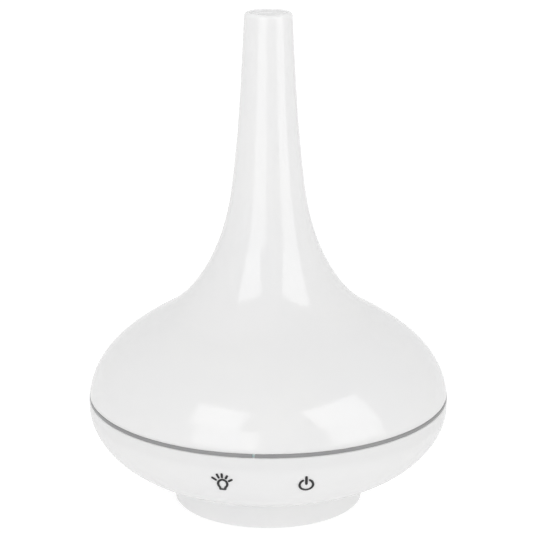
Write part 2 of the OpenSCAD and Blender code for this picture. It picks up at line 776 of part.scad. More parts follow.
module dc_jack() {
    color("black") difference() {
        translate([-jack_w / 2, jack_face_y - jack_len, board_z - jack_h]) cube([jack_w, jack_len, jack_h]);
        translate([0, jack_face_y + 1, jack_axis_z]) rotate([90, 0, 0])
            cylinder(r = jack_bore_r, h = jack_bore_len + 1);
    }
}

module dc_jack_pin() {
    start_y = jack_face_y - jack_bore_len;
    color("silver") translate([0, start_y, jack_axis_z]) rotate([-90, 0, 0])
        rotate_extrude() polygon([[0, 0], [jack_pin_r, 0], [jack_pin_r, jack_pin_len],
            [jack_pin_r - 0.3, jack_pin_len + 0.3], [0, jack_pin_len + 0.3]]);
}

module touch_board() {
    color("darkgreen") difference() {
        translate([-touch_board_w / 2, touch_board_y - touch_board_t, touch_z - touch_board_h / 2])
            cube([touch_board_w, touch_board_t, touch_board_h]);
        for (x = [-1, 1]) translate([x * touch_boss_x, touch_board_y + 1, touch_z]) rotate([90, 0, 0])
            cylinder(r = small_screw_r + screw_clearance, h = touch_board_t + 2);
    }
}

module touch_screws() {
    color("silver") for (x = [-1, 1]) translate([x * touch_boss_x, touch_board_y, touch_z])
        rotate([90, 0, 0]) screw(small_screw_r, small_head_r, small_head_h, touch_board_t + 3.5);
}

// Each spring is a stack of turns between the touch board and the wall behind its icon
module touch_springs() {
    turn_r = 0.35;
    turns = 3;
    color("silver") for (x = [lamp_x, power_x]) {
        wall_r = radius_at(inner_outline, touch_z - spring_r) - 0.35;
        wall_y = -sqrt(wall_r * wall_r - (abs(x) + spring_r) * (abs(x) + spring_r));
        front_y = touch_board_y - touch_board_t;
        space = front_y - wall_y;
        translate([x, front_y, touch_z]) rotate([90, 0, 0]) difference() {
            cylinder(r = spring_r, h = space);
            translate([0, 0, -1]) cylinder(r = spring_r - 2 * turn_r, h = space + 2);
            for (i = [0:turns - 1]) translate([0, 0, space * (i + 0.6) / (turns + 0.2)])
                rotate_extrude() translate([spring_r, 0]) circle(r = turn_r * 0.8, $fn = 16);
        }
    }
}

// ---- Printed icons ----

module band(path, w) {
    polygon(concat(inset(path, w / 2), reversed(inset(path, -w / 2))));
}

module thick_line(from, to, w) {
    band([from, to], w);
    for (end = [from, to]) translate(end) circle(d = w, $fn = 12);
}

module bulb_outline() {
    glass_w = 2;
    glass_h = 2.4;
    stem = [1, -3.2];
    glass = [for (p = arc([0, 0], 1, 232, -52, 20)) [glass_w * p[0], glass_h * p[1]]];
    band(concat([[-stem[0], stem[1]]], glass, [stem]), icon_line);
    thick_line([-stem[0], stem[1]], stem, icon_line);
}

module power_arc() {
    ring_r = power_size / 2 - icon_line / 2;
    gap = 31;
    band(arc([0, 0], ring_r, 90 + gap, 450 - gap, 24), icon_line);
    for (a = [-gap, gap]) translate(ring_r * [sin(a), cos(a)]) circle(d = icon_line, $fn = 12);
}

// A skin that stands on the lower housing, cut to the shape of one stroke
module stroke_on_housing(x, z) {
    skin = cut_line(outline, foot_top_z + 8, ring_bottom_z - 2);
    proud = cut_line(inset(outline, -icon_t), foot_top_z + 8, ring_bottom_z - 2);
    intersection() {
        rotate_extrude() polygon(concat(skin, reversed(proud)));
        translate([x, 0, z]) rotate([90, 0, 0]) linear_extrude(body_r + 5) children();
    }
}

module lamp_icon() {
    bulb_z = touch_z - 0.4;
    color("dimgray") {
        stroke_on_housing(lamp_x, bulb_z) bulb_outline();
        for (ray = [[-51, 3.75, 5.4], [-26, 4, 5.7], [-3.5, 4, 5.5], [23, 3.7, 4.9], [57, 3.35, 4.7]])
            stroke_on_housing(lamp_x, bulb_z)
                rotate(-ray[0]) thick_line([0, ray[1]], [0, ray[2]], icon_line);
    }
}

module power_icon() {
    ring_z = touch_z - 0.5;
    color("dimgray") {
        stroke_on_housing(power_x, ring_z) power_arc();
        stroke_on_housing(power_x, ring_z) thick_line([0, 0.6], [0, power_size / 2 + 0.7], 1.2);
    }
}

// ---- Wires ----

socket_top_z = board_top_z + socket_h - 0.6;

// Parallel wires from one end of a lead to the other. Each pull is the reach of the straight part at that end.
module lead(from, pull_from, step_from, to, pull_to, step_to, count, across, by = [], by_way = []) {
    for (i = [0:count - 1]) let (
        k = i - (count - 1) / 2,
        a = from + k * step_from,
        d = to + k * step_to,
        path = len(by) == 0
            ? bezier(a, a + pull_from, d + pull_to, d, 12)
            : let (middle = by + k * step_from) concat(
                bezier(a, a + pull_from, middle - by_way, middle, 8),
                skip_first(bezier(middle, middle + by_way, d + pull_to, d, 8))))
        wire(path, pull_from, -pull_to, across, wire_r);
}

module fan_wires() {
    at = sockets_at[0];
    color("firebrick") lead([at[0], at[1], socket_top_z], [0, 0, 7], [2, 0, 0],
        [-fan_size / 2, -fan_offset + 6, fan_z + 5], [-6, 0, 0], [0, 0, 2], 2, [0, 1, 0]);
}

module transducer_wires() {
    at = sockets_at[1];
    color("ivory") lead([at[0], at[1], socket_top_z], [0, 0, 5], [0, 2, 0],
        [-2, 2, seal_z + seal_cheek], [0, 0, -6.5], [0, 2, 0], 2, [0, 1, 0]);
}

module led_wires() {
    at = sockets_at[2];
    color("royalblue") lead([at[0], at[1], socket_top_z], [0, 0, 3], [0, 2, 0],
        [15, 16.5, led_board_z], [0, 0, -3], [0, 2, 0], 3, [0, 1, 0]);
}

module touch_wires() {
    at = sockets_at[3];
    color("goldenrod") lead([at[0], at[1], socket_top_z], [0, 0, 5], [2, 0, 0],
        [20, touch_board_y, touch_z - touch_board_h / 2 + 0.9], [0, 3, 0], [2, 0, 0], 3, [1, 0, 0],
        by = [35, -27, socket_top_z + 4.6], by_way = [1, -12, 1]);
}

top_cover();
inner_lid();
trim_ring();
lower_housing();
foot_cover();
foot_pads();
case_screws();
water_tank();
transducer_disc();
transducer_seal();
transducer_plate();
transducer_screws();
led_board();
leds();
led_screws();
air_duct();
duct_seal();
fan_frame();
fan_rotor();
fan_magnet();
fan_shaft();
fan_bush();
fan_stator();
fan_coils();
fan_screws();
main_board();
board_screws();
board_sockets();
heat_sink();
power_transistor();
inductors();
capacitors();
controller_chip();
dc_jack();
dc_jack_pin();
touch_board();
touch_springs();
touch_screws();
lamp_icon();
power_icon();
fan_wires();
transducer_wires();
led_wires();
touch_wires();
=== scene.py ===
"""Flask-shaped cool mist humidifier: smooth shells, finishes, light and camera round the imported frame.

Lengths inside the shape functions are in millimetres; hand_over() turns them into metres.
"""
import math

import bpy
import numpy as np
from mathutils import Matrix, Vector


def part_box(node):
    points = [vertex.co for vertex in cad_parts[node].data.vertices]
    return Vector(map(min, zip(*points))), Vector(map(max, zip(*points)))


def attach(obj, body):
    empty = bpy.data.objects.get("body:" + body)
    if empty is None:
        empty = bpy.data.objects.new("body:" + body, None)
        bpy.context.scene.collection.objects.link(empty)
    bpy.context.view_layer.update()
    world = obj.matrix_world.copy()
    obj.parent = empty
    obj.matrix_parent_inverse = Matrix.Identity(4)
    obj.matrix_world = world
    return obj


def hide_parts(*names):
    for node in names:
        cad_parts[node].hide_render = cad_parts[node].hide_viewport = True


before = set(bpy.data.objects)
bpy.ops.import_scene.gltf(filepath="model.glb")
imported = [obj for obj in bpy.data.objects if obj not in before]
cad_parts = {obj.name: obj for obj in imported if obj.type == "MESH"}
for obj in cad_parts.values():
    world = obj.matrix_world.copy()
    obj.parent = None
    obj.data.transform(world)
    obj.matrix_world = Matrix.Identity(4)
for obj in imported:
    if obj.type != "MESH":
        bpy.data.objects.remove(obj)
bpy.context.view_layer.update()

MM = 0.001
TURNS = 320          # steps round a large lathed shell
SMALL_TURNS = 48     # steps round a small one
CREASE = 35          # edges sharper than this many degrees stay crisp


# ---- Places taken from the frame, and the sizes that go with them ----

def corners(node):
    """Lowest and highest corner of a CAD node, in millimetres."""
    low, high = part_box(node)
    return np.array(low) / MM, np.array(high) / MM


housing_low, housing_high = corners("lower_housing")
ring_low, ring_high = corners("trim_ring")
touch_board_low, touch_board_high = corners("touch_board")

TOTAL_H = corners("top_cover")[1][2]
BODY_R = housing_high[0]
RING_BOTTOM_Z = ring_low[2]
RING_TOP_Z = ring_high[2]
JOINT_Z = (RING_BOTTOM_Z + RING_TOP_Z) / 2
FOOT_TOP_Z = housing_low[2]
FOOT_TOP_R = corners("foot_cover")[1][0]
TOUCH_Z = (touch_board_low[2] + touch_board_high[2]) / 2
TOUCH_FRONT_Y = touch_board_low[1]

WALL = 2.4           # thickness of both shells
NECK_TOP_R = 10.7
FOOT_INNER_R = FOOT_TOP_R - WALL
EDGE = 0.35          # bevel on the shells where they meet the ring


# ---- Curves in the plane [radius, height] ----

def bezier(a, b, c, d, steps):
    """Cubic curve from a to d pulled towards b and c, steps + 1 points."""
    t = np.linspace(0, 1, steps + 1)[:, None]
    s = 1 - t
    a, b, c, d = (np.array(p, float) for p in (a, b, c, d))
    return s**3 * a + 3 * s * s * t * b + 3 * s * t * t * c + t**3 * d


def leaning(angle):
    """Unit direction that leans inwards from straight up by an angle in degrees."""
    return np.array([-math.sin(math.radians(angle)), math.cos(math.radians(angle))])


def arc(centre, radius, start, end, steps):
    """Points on a circle from one angle to another, in degrees."""
    a = np.radians(np.linspace(start, end, steps + 1))[:, None]
    return np.array(centre, float) + radius * np.hstack([np.cos(a), np.sin(a)])


def inset(line, distance):
    """The line moved square to itself, to the left of its own direction."""
    along = np.gradient(line, axis=0)
    length = np.linalg.norm(along, axis=1)[:, None]
    return line + distance * np.stack([-along[:, 1], along[:, 0]], 1) / length


def radius_at(line, height):
    """Radius of the line at a height."""
    return np.interp(height, line[:, 1], line[:, 0])


def cut_line(line, low, high):
    """The stretch of the line between two heights, with its end points on them."""
    inside = line[(line[:, 1] > low + 0.02) & (line[:, 1] < high - 0.02)]
    return np.vstack([[[radius_at(line, low), low]], inside, [[radius_at(line, high), high]]])


def beyond(line, radius):
    """The points of a rising line after it first passes a radius."""
    return line[np.argmax(line[:, 0] > radius):]


def height_at(line, radius):
    """Height of the rising line where it first reaches a radius."""
    i = np.argmax(line[:, 0] > radius)
    return np.interp(radius, line[i - 1:i + 1, 0], line[i - 1:i + 1, 1])


def flask_outline():
    """Foot, bowl, bulb, flare and neck as four cubic curves that share their directions where they meet."""
    widest = [BODY_R, JOINT_Z - 3.4]
    shoulder = np.array([BODY_R - 33.5, JOINT_Z + 38.5])
    neck_foot = np.array([NECK_TOP_R + 5.9, TOTAL_H - 79.6])
    top = np.array([NECK_TOP_R, TOTAL_H])
    reach = (TOTAL_H - neck_foot[1]) * 0.36
    bowl = bezier([FOOT_TOP_R, FOOT_TOP_Z], [FOOT_TOP_R + 10.8, FOOT_TOP_Z],
                  [BODY_R, widest[1] - 20.5], widest, 40)
    bulb = bezier(widest, [BODY_R, widest[1] + 18.2], shoulder - 24.1 * leaning(60.6), shoulder, 40)
    flare = bezier(shoulder, shoulder + 19.2 * leaning(60.6),
                   neck_foot - 30.7 * leaning(7.2), neck_foot, 40)
    neck = bezier(neck_foot, neck_foot + reach * leaning(7.2), top - reach * leaning(3), top, 16)
    return np.vstack([bowl, bulb[1:], flare[1:], neck[1:]])


OUTLINE = flask_outline()
INNER_OUTLINE = inset(OUTLINE, WALL)


# ---- Making surfaces ----

def hand_over(name, points, faces, body, replaced, slot, finish):
    """A mesh from points in millimetres, on its body and in place of the CAD nodes it replaces."""
    mesh = bpy.data.meshes.new(name)
    mesh.from_pydata((np.asarray(points, float) * MM).tolist(), [], faces)
    mesh.validate()
    mesh.shade_smooth()
    mesh.set_sharp_from_angle(angle=math.radians(CREASE))
    piece = bpy.data.objects.new(name, mesh)
    bpy.context.scene.collection.objects.link(piece)
    mesh.materials.append(finish)
    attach(piece, body)
    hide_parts(*replaced)
    return piece


def grid_faces(rows, columns, close_rows=False, close_columns=False):
    """Four-sided faces over a grid of points, with either direction joined round."""
    i = np.arange(rows if close_rows else rows - 1)
    j = np.arange(columns if close_columns else columns - 1)
    i, j = (g.ravel() for g in np.meshgrid(i, j, indexing="ij"))
    ni, nj = (i + 1) % rows, (j + 1) % columns
    corner_numbers = [i * columns + j, i * columns + nj, ni * columns + nj, ni * columns + j]
    return np.stack(corner_numbers, 1).tolist()


def join(*parts):
    """Several (points, faces) put into one mesh."""
    points, faces, count = [], [], 0
    for p, f in parts:
        points.append(np.asarray(p, float).reshape(-1, 3))
        faces += [[v + count for v in face] for face in f]
        count += len(points[-1])
    return np.vstack(points), faces


def turned(profile, angle):
    """The points of a profile [radius, height] at each angle round Z."""
    profile = np.asarray(profile, float)
    r, z = profile[:, :1], profile[:, 1:]
    return np.stack([r * np.cos(angle), r * np.sin(angle), z + 0 * angle], 2).reshape(-1, 3)


def lathe(profile, turns=TURNS):
    """A closed profile [radius, height], anticlockwise, turned right round Z."""
    angle = np.linspace(0, 2 * math.pi, turns, endpoint=False)
    return turned(profile, angle), grid_faces(len(profile), turns, close_rows=True, close_columns=True)


def placed(part, turn, shift):
    """A part turned by a 3 x 3 matrix and then shifted."""
    points, faces = part
    return points @ np.array(turn, float).T + np.array(shift, float), faces


TOWARDS_FRONT = [[1, 0, 0], [0, 0, -1], [0, 1, 0]]     # turns +Z to -Y


def tube(path, radius, sides=14, across=(0, 0, 1)):
    """A round tube with closed ends: a circle carried square to the path, always facing one direction."""
    path = np.asarray(path, float)
    along = np.gradient(path, axis=0)
    along /= np.linalg.norm(along, axis=1)[:, None]
    u = np.cross(along, across)
    u /= np.linalg.norm(u, axis=1)[:, None]
    v = np.cross(along, u)
    a = np.linspace(0, 2 * math.pi, sides, endpoint=False)[None, :, None]
    points = path[:, None] + radius * (np.cos(a) * u[:, None] + np.sin(a) * v[:, None])
    count = len(path)
    faces = grid_faces(count, sides, close_columns=True)
    faces += [list(range(sides))[::-1], list(range((count - 1) * sides, count * sides))]
    return points.reshape(-1, 3), faces


# ---- Finishes ----

class Finish:
    """A node material whose patterns are measured in millimetres of the object's own coordinates."""

    def __init__(self, name):
        self.material = bpy.data.materials.new(name)
        self.material.use_nodes = True
        self.nodes = self.material.node_tree.nodes
        self.links = self.material.node_tree.links
        self.shader = self.nodes["Principled BSDF"]
        where = self.nodes.new("ShaderNodeTexCoord")
        scale = self.nodes.new("ShaderNodeMapping")
        scale.inputs["Scale"].default_value = (1000, 1000, 1000)
        self.links.new(where.outputs["Object"], scale.inputs["Vector"])
        self.place = scale.outputs["Vector"]

    def set(self, **values):
        """Sets the shader's own sockets; underscores stand for spaces."""
        for key, value in values.items():
            self.shader.inputs[key.replace("_", " ")].default_value = value
        return self

    def noise(self, size, detail=3.0, stretch=(1, 1, 1)):
        """Cloudy pattern whose patches are about size millimetres wide."""
        vector = self.place
        if stretch != (1, 1, 1):
            squeeze = self.nodes.new("ShaderNodeMapping")
            squeeze.inputs["Scale"].default_value = stretch
            self.links.new(vector, squeeze.inputs["Vector"])
            vector = squeeze.outputs["Vector"]
        node = self.nodes.new("ShaderNodeTexNoise")
        node.inputs["Scale"].default_value = 1 / size
        node.inputs["Detail"].default_value = detail
        self.links.new(vector, node.inputs["Vector"])
        return node.outputs["Fac"]

    def cells(self, size, feature="F1"):
        """Cell pattern with cells about size millimetres wide."""
        node = self.nodes.new("ShaderNodeTexVoronoi")
        node.feature = feature
        node.inputs["Scale"].default_value = 1 / size
        self.links.new(self.place, node.inputs["Vector"])
        return node.outputs["Distance"]

    def stripes(self, size, direction="Z", distortion=0.0):
        """Even stripes across a direction, one every size millimetres."""
        node = self.nodes.new("ShaderNodeTexWave")
        node.bands_direction = direction
        node.inputs["Scale"].default_value = 0.314 / size
        node.inputs["Distortion"].default_value = distortion
        self.links.new(self.place, node.inputs["Vector"])
        return node.outputs["Fac"]

    def height(self):
        """Height above the table in millimetres."""
        node = self.nodes.new("ShaderNodeSeparateXYZ")
        self.links.new(self.place, node.inputs["Vector"])
        return node.outputs["Z"]

    def spread(self, value, low, high, to_low, to_high):
        """A value carried from one range to another and held at its ends."""
        node = self.nodes.new("ShaderNodeMapRange")
        node.inputs["From Min"].default_value = low
        node.inputs["From Max"].default_value = high
        node.inputs["To Min"].default_value = to_low
        node.inputs["To Max"].default_value = to_high
        self.links.new(value, node.inputs["Value"])
        return node.outputs["Result"]

    def ramp(self, value, *stops):
        """Colours along a value, each stop a position and a colour."""
        node = self.nodes.new("ShaderNodeValToRGB")
        points = node.color_ramp.elements
        while len(points) < len(stops):
            points.new(0.5)
        for point, (position, colour) in zip(points, stops):
            point.position = position
            point.color = (*colour, 1)
        self.links.new(value, node.inputs["Fac"])
        return node.outputs["Color"]

    def blend(self, amount, first, second):
        """Two colour outputs mixed by an amount."""
        node = self.nodes.new("ShaderNodeMix")
        node.data_type = "RGBA"
        self.links.new(amount, node.inputs["Factor"])
        self.links.new(first, node.inputs["A"])
        self.links.new(second, node.inputs["B"])
        return node.outputs["Result"]

    def colour(self, output):
        """Base colour taken from a colour output."""
        self.links.new(output, self.shader.inputs["Base Color"])
        return self

    def rough(self, value, low, high):
        """Roughness between two values, following a pattern."""
        self.links.new(self.spread(value, 0.3, 0.7, low, high), self.shader.inputs["Roughness"])
        return self

    def relief(self, *layers):
        """Bumps in millimetres, one layer over another."""
        before = None
        for value, depth in layers:
            node = self.nodes.new("ShaderNodeBump")
            node.inputs["Distance"].default_value = depth * MM
            self.links.new(value, node.inputs["Height"])
            if before:
                self.links.new(before, node.inputs["Normal"])
            before = node.outputs["Normal"]
        self.links.new(before, self.shader.inputs["Normal"])
        return self


def moulded(name, dark, light, roughness, grain, depth, **sockets):
    """Moulded plastic or rubber: faint cloudy tint, fine grain in gloss and relief."""
    f = Finish(name)
    f.colour(f.ramp(f.noise(18), (0.35, dark), (0.65, light)))
    f.rough(f.noise(grain * 3), roughness[0], roughness[1])
    f.relief((f.noise(grain), depth))
    return f.set(**sockets).material


ACRYLIC_IOR = 1.49


def glossy_white():
    """Polished white plastic that light enters a little: slow tint, faint waves, slightly uneven gloss."""
    f = Finish("glossy_white")
    f.colour(f.ramp(f.noise(45, 2), (0.35, (0.895, 0.895, 0.898)), (0.65, (0.91, 0.908, 0.905))))
    f.rough(f.noise(9), 0.09, 0.13)
    f.relief((f.noise(14, 1), 0.01), (f.noise(0.6, 2), 0.0006))
    f.set(IOR=ACRYLIC_IOR, Subsurface_Weight=1.0, Subsurface_Radius=(1.0, 1.0, 1.0), Subsurface_Scale=0.0015)
    return f.material


def milky_plastic():
    """Thin natural plastic that lets light in, with flow lines from the gate."""
    f = Finish("milky_plastic")
    f.colour(f.ramp(f.noise(26, 3), (0.3, (0.76, 0.77, 0.77)), (0.7, (0.79, 0.8, 0.8))))
    f.rough(f.noise(5), 0.26, 0.34)
    f.relief((f.noise(1.2), 0.001))
    f.set(IOR=ACRYLIC_IOR, Subsurface_Weight=0.35, Subsurface_Scale=0.004)
    return f.material


def plated_steel():
    """Zinc plate: small crystals in tint and gloss."""
    f = Finish("plated_steel")
    f.colour(f.ramp(f.cells(0.5), (0.0, (0.5, 0.5, 0.52)), (0.8, (0.68, 0.68, 0.68))))
    f.rough(f.noise(0.4), 0.25, 0.42)
    f.relief((f.noise(0.15), 0.002))
    return f.set(Metallic=1.0).material


def satin_aluminium():
    """Sheet aluminium with fine lines from rolling."""
    f = Finish("satin_aluminium")
    lines = f.noise(0.25, 2, (1, 1, 0.05))
    f.colour(f.ramp(lines, (0.3, (0.62, 0.63, 0.65)), (0.7, (0.78, 0.78, 0.8))))
    f.rough(lines, 0.28, 0.4)
    f.relief((lines, 0.003))
    return f.set(Metallic=1.0).material


def satin_brass():
    """Brass with a slow tarnish and fine turning marks."""
    f = Finish("satin_brass")
    f.colour(f.ramp(f.noise(3), (0.3, (0.55, 0.38, 0.14)), (0.7, (0.78, 0.6, 0.3))))
    f.rough(f.noise(0.3), 0.25, 0.4)
    f.relief((f.noise(0.1), 0.002))
    return f.set(Metallic=1.0).material


def winding_with_painted_groove_shade():
    """Copper wire wound tight: a turn every 0.2 mm, darkened in the grooves between turns by painted shade.
    """
    f = Finish("winding_with_painted_groove_shade")
    turns = f.stripes(0.2, "Z", 0.3)
    # dark colour where the stripes dip, in the grooves the relief cuts between turns: painted shade, not the
    # copper's own colour
    f.colour(f.ramp(turns, (0.0, (0.22, 0.07, 0.03)), (0.6, (0.72, 0.33, 0.17))))
    f.rough(f.noise(0.5), 0.22, 0.35)
    f.relief((turns, 0.06))
    return f.set(Metallic=0.8).material


def circuit_board():
    """Green solder mask over copper: tracks from square cells, plated dots, weave of the laminate below."""
    f = Finish("circuit_board")
    tracks = f.spread(f.cells(3.4, "DISTANCE_TO_EDGE"), 0.06, 0.1, 1, 0)
    dots = f.spread(f.cells(4.6), 0.1, 0.13, 1, 0)
    mask = f.ramp(f.noise(0.8), (0.3, (0.012, 0.12, 0.04)), (0.7, (0.02, 0.18, 0.06)))
    copper_under = f.ramp(f.noise(2), (0.3, (0.05, 0.3, 0.1)), (0.7, (0.06, 0.34, 0.12)))
    tin = f.ramp(f.noise(0.5), (0.3, (0.5, 0.5, 0.48)), (0.7, (0.66, 0.66, 0.62)))
    f.colour(f.blend(dots, f.blend(tracks, mask, copper_under), tin))
    f.rough(f.noise(1.4), 0.25, 0.42)
    f.relief((tracks, 0.05), (dots, 0.04), (f.noise(0.3), 0.006))
    return f.material


def shrunk_sleeve():
    """Dark sleeve shrunk over the can, with the bare aluminium end below it."""
    f = Finish("shrunk_sleeve")
    can_low = corners("capacitors")[0][2]
    bare = f.spread(f.height(), can_low + 0.25, can_low + 0.35, 1, 0)
    sleeve = f.ramp(f.noise(2), (0.3, (0.012, 0.018, 0.07)), (0.7, (0.02, 0.03, 0.11)))
    can = f.ramp(f.noise(0.4), (0.3, (0.55, 0.55, 0.56)), (0.7, (0.7, 0.7, 0.71)))
    f.colour(f.blend(bare, sleeve, can))
    f.rough(f.noise(1), 0.2, 0.35)
    f.relief((f.noise(0.8), 0.01))
    return f.material


def lamp_package():
    """White package with a yellow phosphor window on top."""
    f = Finish("lamp_package")
    lamp_top = corners("leds")[1][2]
    lens = f.spread(f.height(), lamp_top - 0.42, lamp_top - 0.36, 0, 1)
    white = f.ramp(f.noise(1), (0.3, (0.82, 0.81, 0.78)), (0.7, (0.88, 0.87, 0.84)))
    phosphor = f.ramp(f.noise(0.3), (0.3, (0.85, 0.62, 0.12)), (0.7, (0.92, 0.72, 0.2)))
    f.colour(f.blend(lens, white, phosphor))
    f.rough(f.noise(0.6), 0.2, 0.32)
    f.relief((f.noise(0.2), 0.003))
    return f.material


def pressed_ferrite():
    """Sintered ferrite: dark, dusty grain."""
    return moulded("pressed_ferrite", (0.035, 0.035, 0.038), (0.07, 0.07, 0.075), (0.5, 0.7), 0.15, 0.02)


WHITE = glossy_white()
RING_GREY = moulded("satin_grey", (0.285, 0.285, 0.29), (0.31, 0.31, 0.312), (0.32, 0.4), 0.25, 0.004)
MILKY = milky_plastic()
BLACK = moulded("moulded_black", (0.012, 0.012, 0.013), (0.022, 0.022, 0.022), (0.42, 0.58), 0.3, 0.015)
RUBBER = moulded("soft_rubber", (0.03, 0.03, 0.032), (0.05, 0.05, 0.05), (0.7, 0.88), 0.35, 0.03)
STEEL = plated_steel()
ALUMINIUM = satin_aluminium()
BRASS = satin_brass()
COPPER = winding_with_painted_groove_shade()
FERRITE = pressed_ferrite()
BOARD = circuit_board()
EPOXY = moulded("moulded_epoxy", (0.012, 0.012, 0.014), (0.02, 0.02, 0.022), (0.5, 0.65), 0.12, 0.01)
SLEEVE = shrunk_sleeve()
NYLON = moulded("natural_nylon", (0.7, 0.67, 0.58), (0.77, 0.74, 0.66), (0.35, 0.5), 0.4, 0.01,
                Subsurface_Weight=0.2, Subsurface_Scale=0.002)
LAMP = lamp_package()
INK = moulded("printing_ink", (0.008, 0.008, 0.009), (0.013, 0.013, 0.014), (0.35, 0.5), 0.12, 0.004)
RED = moulded("red_insulation", (0.42, 0.02, 0.02), (0.5, 0.03, 0.03), (0.35, 0.45), 0.3, 0.006)
CREAM = moulded("white_insulation", (0.68, 0.68, 0.64), (0.74, 0.74, 0.7), (0.35, 0.45), 0.3, 0.006)
BLUE = moulded("blue_insulation", (0.02, 0.06, 0.34), (0.03, 0.08, 0.42), (0.35, 0.45), 0.3, 0.006)
YELLOW = moulded("yellow_insulation", (0.62, 0.42, 0.04), (0.7, 0.5, 0.06), (0.35, 0.45), 0.3, 0.006)


# ---- Casing ----

def top_cover():
    """The flask above the joint: rounded rim, dish, mist nozzle, and the outline inset by the wall."""
    rim_round, lip_w, lip_round = 1.6, 1.7, 0.4
    dish_depth, roof_t = 0.8, 3.2
    nozzle_r, nozzle_wall, nozzle_len, lead_in = 3.6, 1.4, 6.0, 1.2
    nozzle_outer_r = nozzle_r + nozzle_wall
    mouth_r = nozzle_r + lead_in
    rim_inner_r = NECK_TOP_R - lip_w
    dish_z = TOTAL_H - dish_depth
    outer = cut_line(OUTLINE, RING_TOP_Z + EDGE, TOTAL_H - rim_round)
    inner = cut_line(INNER_OUTLINE, RING_TOP_Z, TOTAL_H - dish_depth - roof_t)
    rim = arc([outer[-1, 0] - rim_round, TOTAL_H - rim_round], rim_round, 10, 90, 8)
    fall = arc([rim_inner_r, TOTAL_H - lip_round], lip_round, 90, 170, 4)
    dish = bezier([rim_inner_r - 0.45, dish_z + 0.2], [rim_inner_r - 1.2, dish_z - 0.02],
                  [mouth_r + 1, dish_z], [mouth_r + 0.2, dish_z], 6)
    cone = bezier([mouth_r + 0.2, dish_z], [mouth_r - 0.1, dish_z],
                  [nozzle_r, dish_z - lead_in + 0.3], [nozzle_r, dish_z - lead_in - 0.1], 8)
    nozzle = [[nozzle_r, dish_z - nozzle_len], [nozzle_outer_r, dish_z - nozzle_len],
              [nozzle_outer_r, dish_z - 2.2]]
    start = [[radius_at(OUTLINE, RING_TOP_Z) - EDGE, RING_TOP_Z]]
    profile = np.vstack([start, outer, rim, fall, dish, cone[1:], nozzle, inner[::-1]])
    return hand_over("top_cover_shell", *lathe(profile), "cover", ["top_cover"], "white_shell", WHITE)


def foot_joint(outer):
    """The bowl's underside on the foot, the fillet over the foot's side, and the bowl's outline above it."""
    foot_bottom_r, fillet_h, fillet_w, lip = 44.0, 1.2, 2.2, 0.6
    lean = (FOOT_TOP_R - foot_bottom_r) / FOOT_TOP_Z
    fillet_r = FOOT_TOP_R + fillet_w
    fillet = bezier([FOOT_TOP_R - 0.2 - fillet_h * lean, FOOT_TOP_Z - fillet_h],
                    [FOOT_TOP_R - 0.15, FOOT_TOP_Z - 0.35],
                    [FOOT_TOP_R + 0.9, FOOT_TOP_Z], [fillet_r, height_at(OUTLINE, fillet_r)], 8)
    return np.vstack([[[FOOT_INNER_R, FOOT_TOP_Z], [FOOT_TOP_R - lip, FOOT_TOP_Z],
                       [FOOT_TOP_R - lip, FOOT_TOP_Z - fillet_h]],
                      fillet, beyond(outer, fillet_r + 0.1)])


def tank_ledge():
    """The ledge inside the bowl that the tank's flange rests on, as a closed profile."""
    flange_h, ledge_h, ledge_w = 1.6, 2, 5
    flange_r = radius_at(INNER_OUTLINE, RING_BOTTOM_Z) - 0.3
    top = RING_BOTTOM_Z - flange_h
    low = top - ledge_h
    return [[flange_r - ledge_w, low + 1], [radius_at(INNER_OUTLINE, low) - 1, low - 2],
            [radius_at(OUTLINE, low) - WALL / 2, low - 2],
            [radius_at(OUTLINE, top) - WALL / 2, top], [flange_r - ledge_w, top]]


def touch_bosses():
    """Two hollow bosses from the bowl's wall to the touch board."""
    boss_x, hole_r, boss_r = 7, 1, 2.4
    corner_x = boss_x + boss_r
    wall_y = math.sqrt(radius_at(OUTLINE, TOUCH_Z - boss_r) ** 2 - corner_x**2) - WALL / 2
    length = wall_y + TOUCH_FRONT_Y
    boss = lathe([[hole_r, -0.02], [boss_r, -0.02], [boss_r, length], [hole_r, length]], SMALL_TURNS)
    return [placed(boss, TOWARDS_FRONT, (x, TOUCH_FRONT_Y, TOUCH_Z)) for x in (-boss_x, boss_x)]


def lower_housing():
    """The bowl between foot and ring, with its ledge for the tank and two bosses behind the touch board."""
    outer = cut_line(OUTLINE, FOOT_TOP_Z + 0.02, RING_BOTTOM_Z - EDGE)
    inner = cut_line(INNER_OUTLINE, FOOT_TOP_Z + WALL + 0.02, RING_BOTTOM_Z)
    bowl = np.vstack([foot_joint(outer), [[radius_at(OUTLINE, RING_BOTTOM_Z) - EDGE, RING_BOTTOM_Z]],
                      inner[::-1], [[FOOT_INNER_R, FOOT_TOP_Z + WALL]]])
    shell = join(lathe(bowl, 2 * TURNS), lathe(tank_ledge()), *touch_bosses())
    return hand_over("lower_housing_shell", *shell, "base", ["lower_housing"], "white_shell", WHITE)


def trim_ring():
    """A rounded band between the two shells, cut through once at its joint."""
    thickness, gap, cut_at, soft = 0.8, 1.2, -94.4, 0.3
    outer_r = radius_at(OUTLINE, JOINT_Z)
    inner_r = outer_r - thickness
    low, high = RING_BOTTOM_Z, RING_TOP_Z
    profile = np.vstack([
        [[inner_r, low]],
        arc([outer_r - soft, low + soft], soft, -90, 0, 5),
        arc([outer_r - soft, high - soft], soft, 0, 90, 5),
        [[inner_r, high]]])
    half = math.degrees(gap / 2 / outer_r)
    angle = np.radians(np.linspace(cut_at + half, cut_at + 360 - half, TURNS + 1))
    count, columns = len(profile), TURNS + 1
    faces = grid_faces(count, columns, close_rows=True)
    faces += [[i * columns for i in range(count)], [i * columns + TURNS for i in range(count)][::-1]]
    return hand_over("trim_ring_band", turned(profile, angle), faces,
                     "base", ["trim_ring"], "grey_ring", RING_GREY)


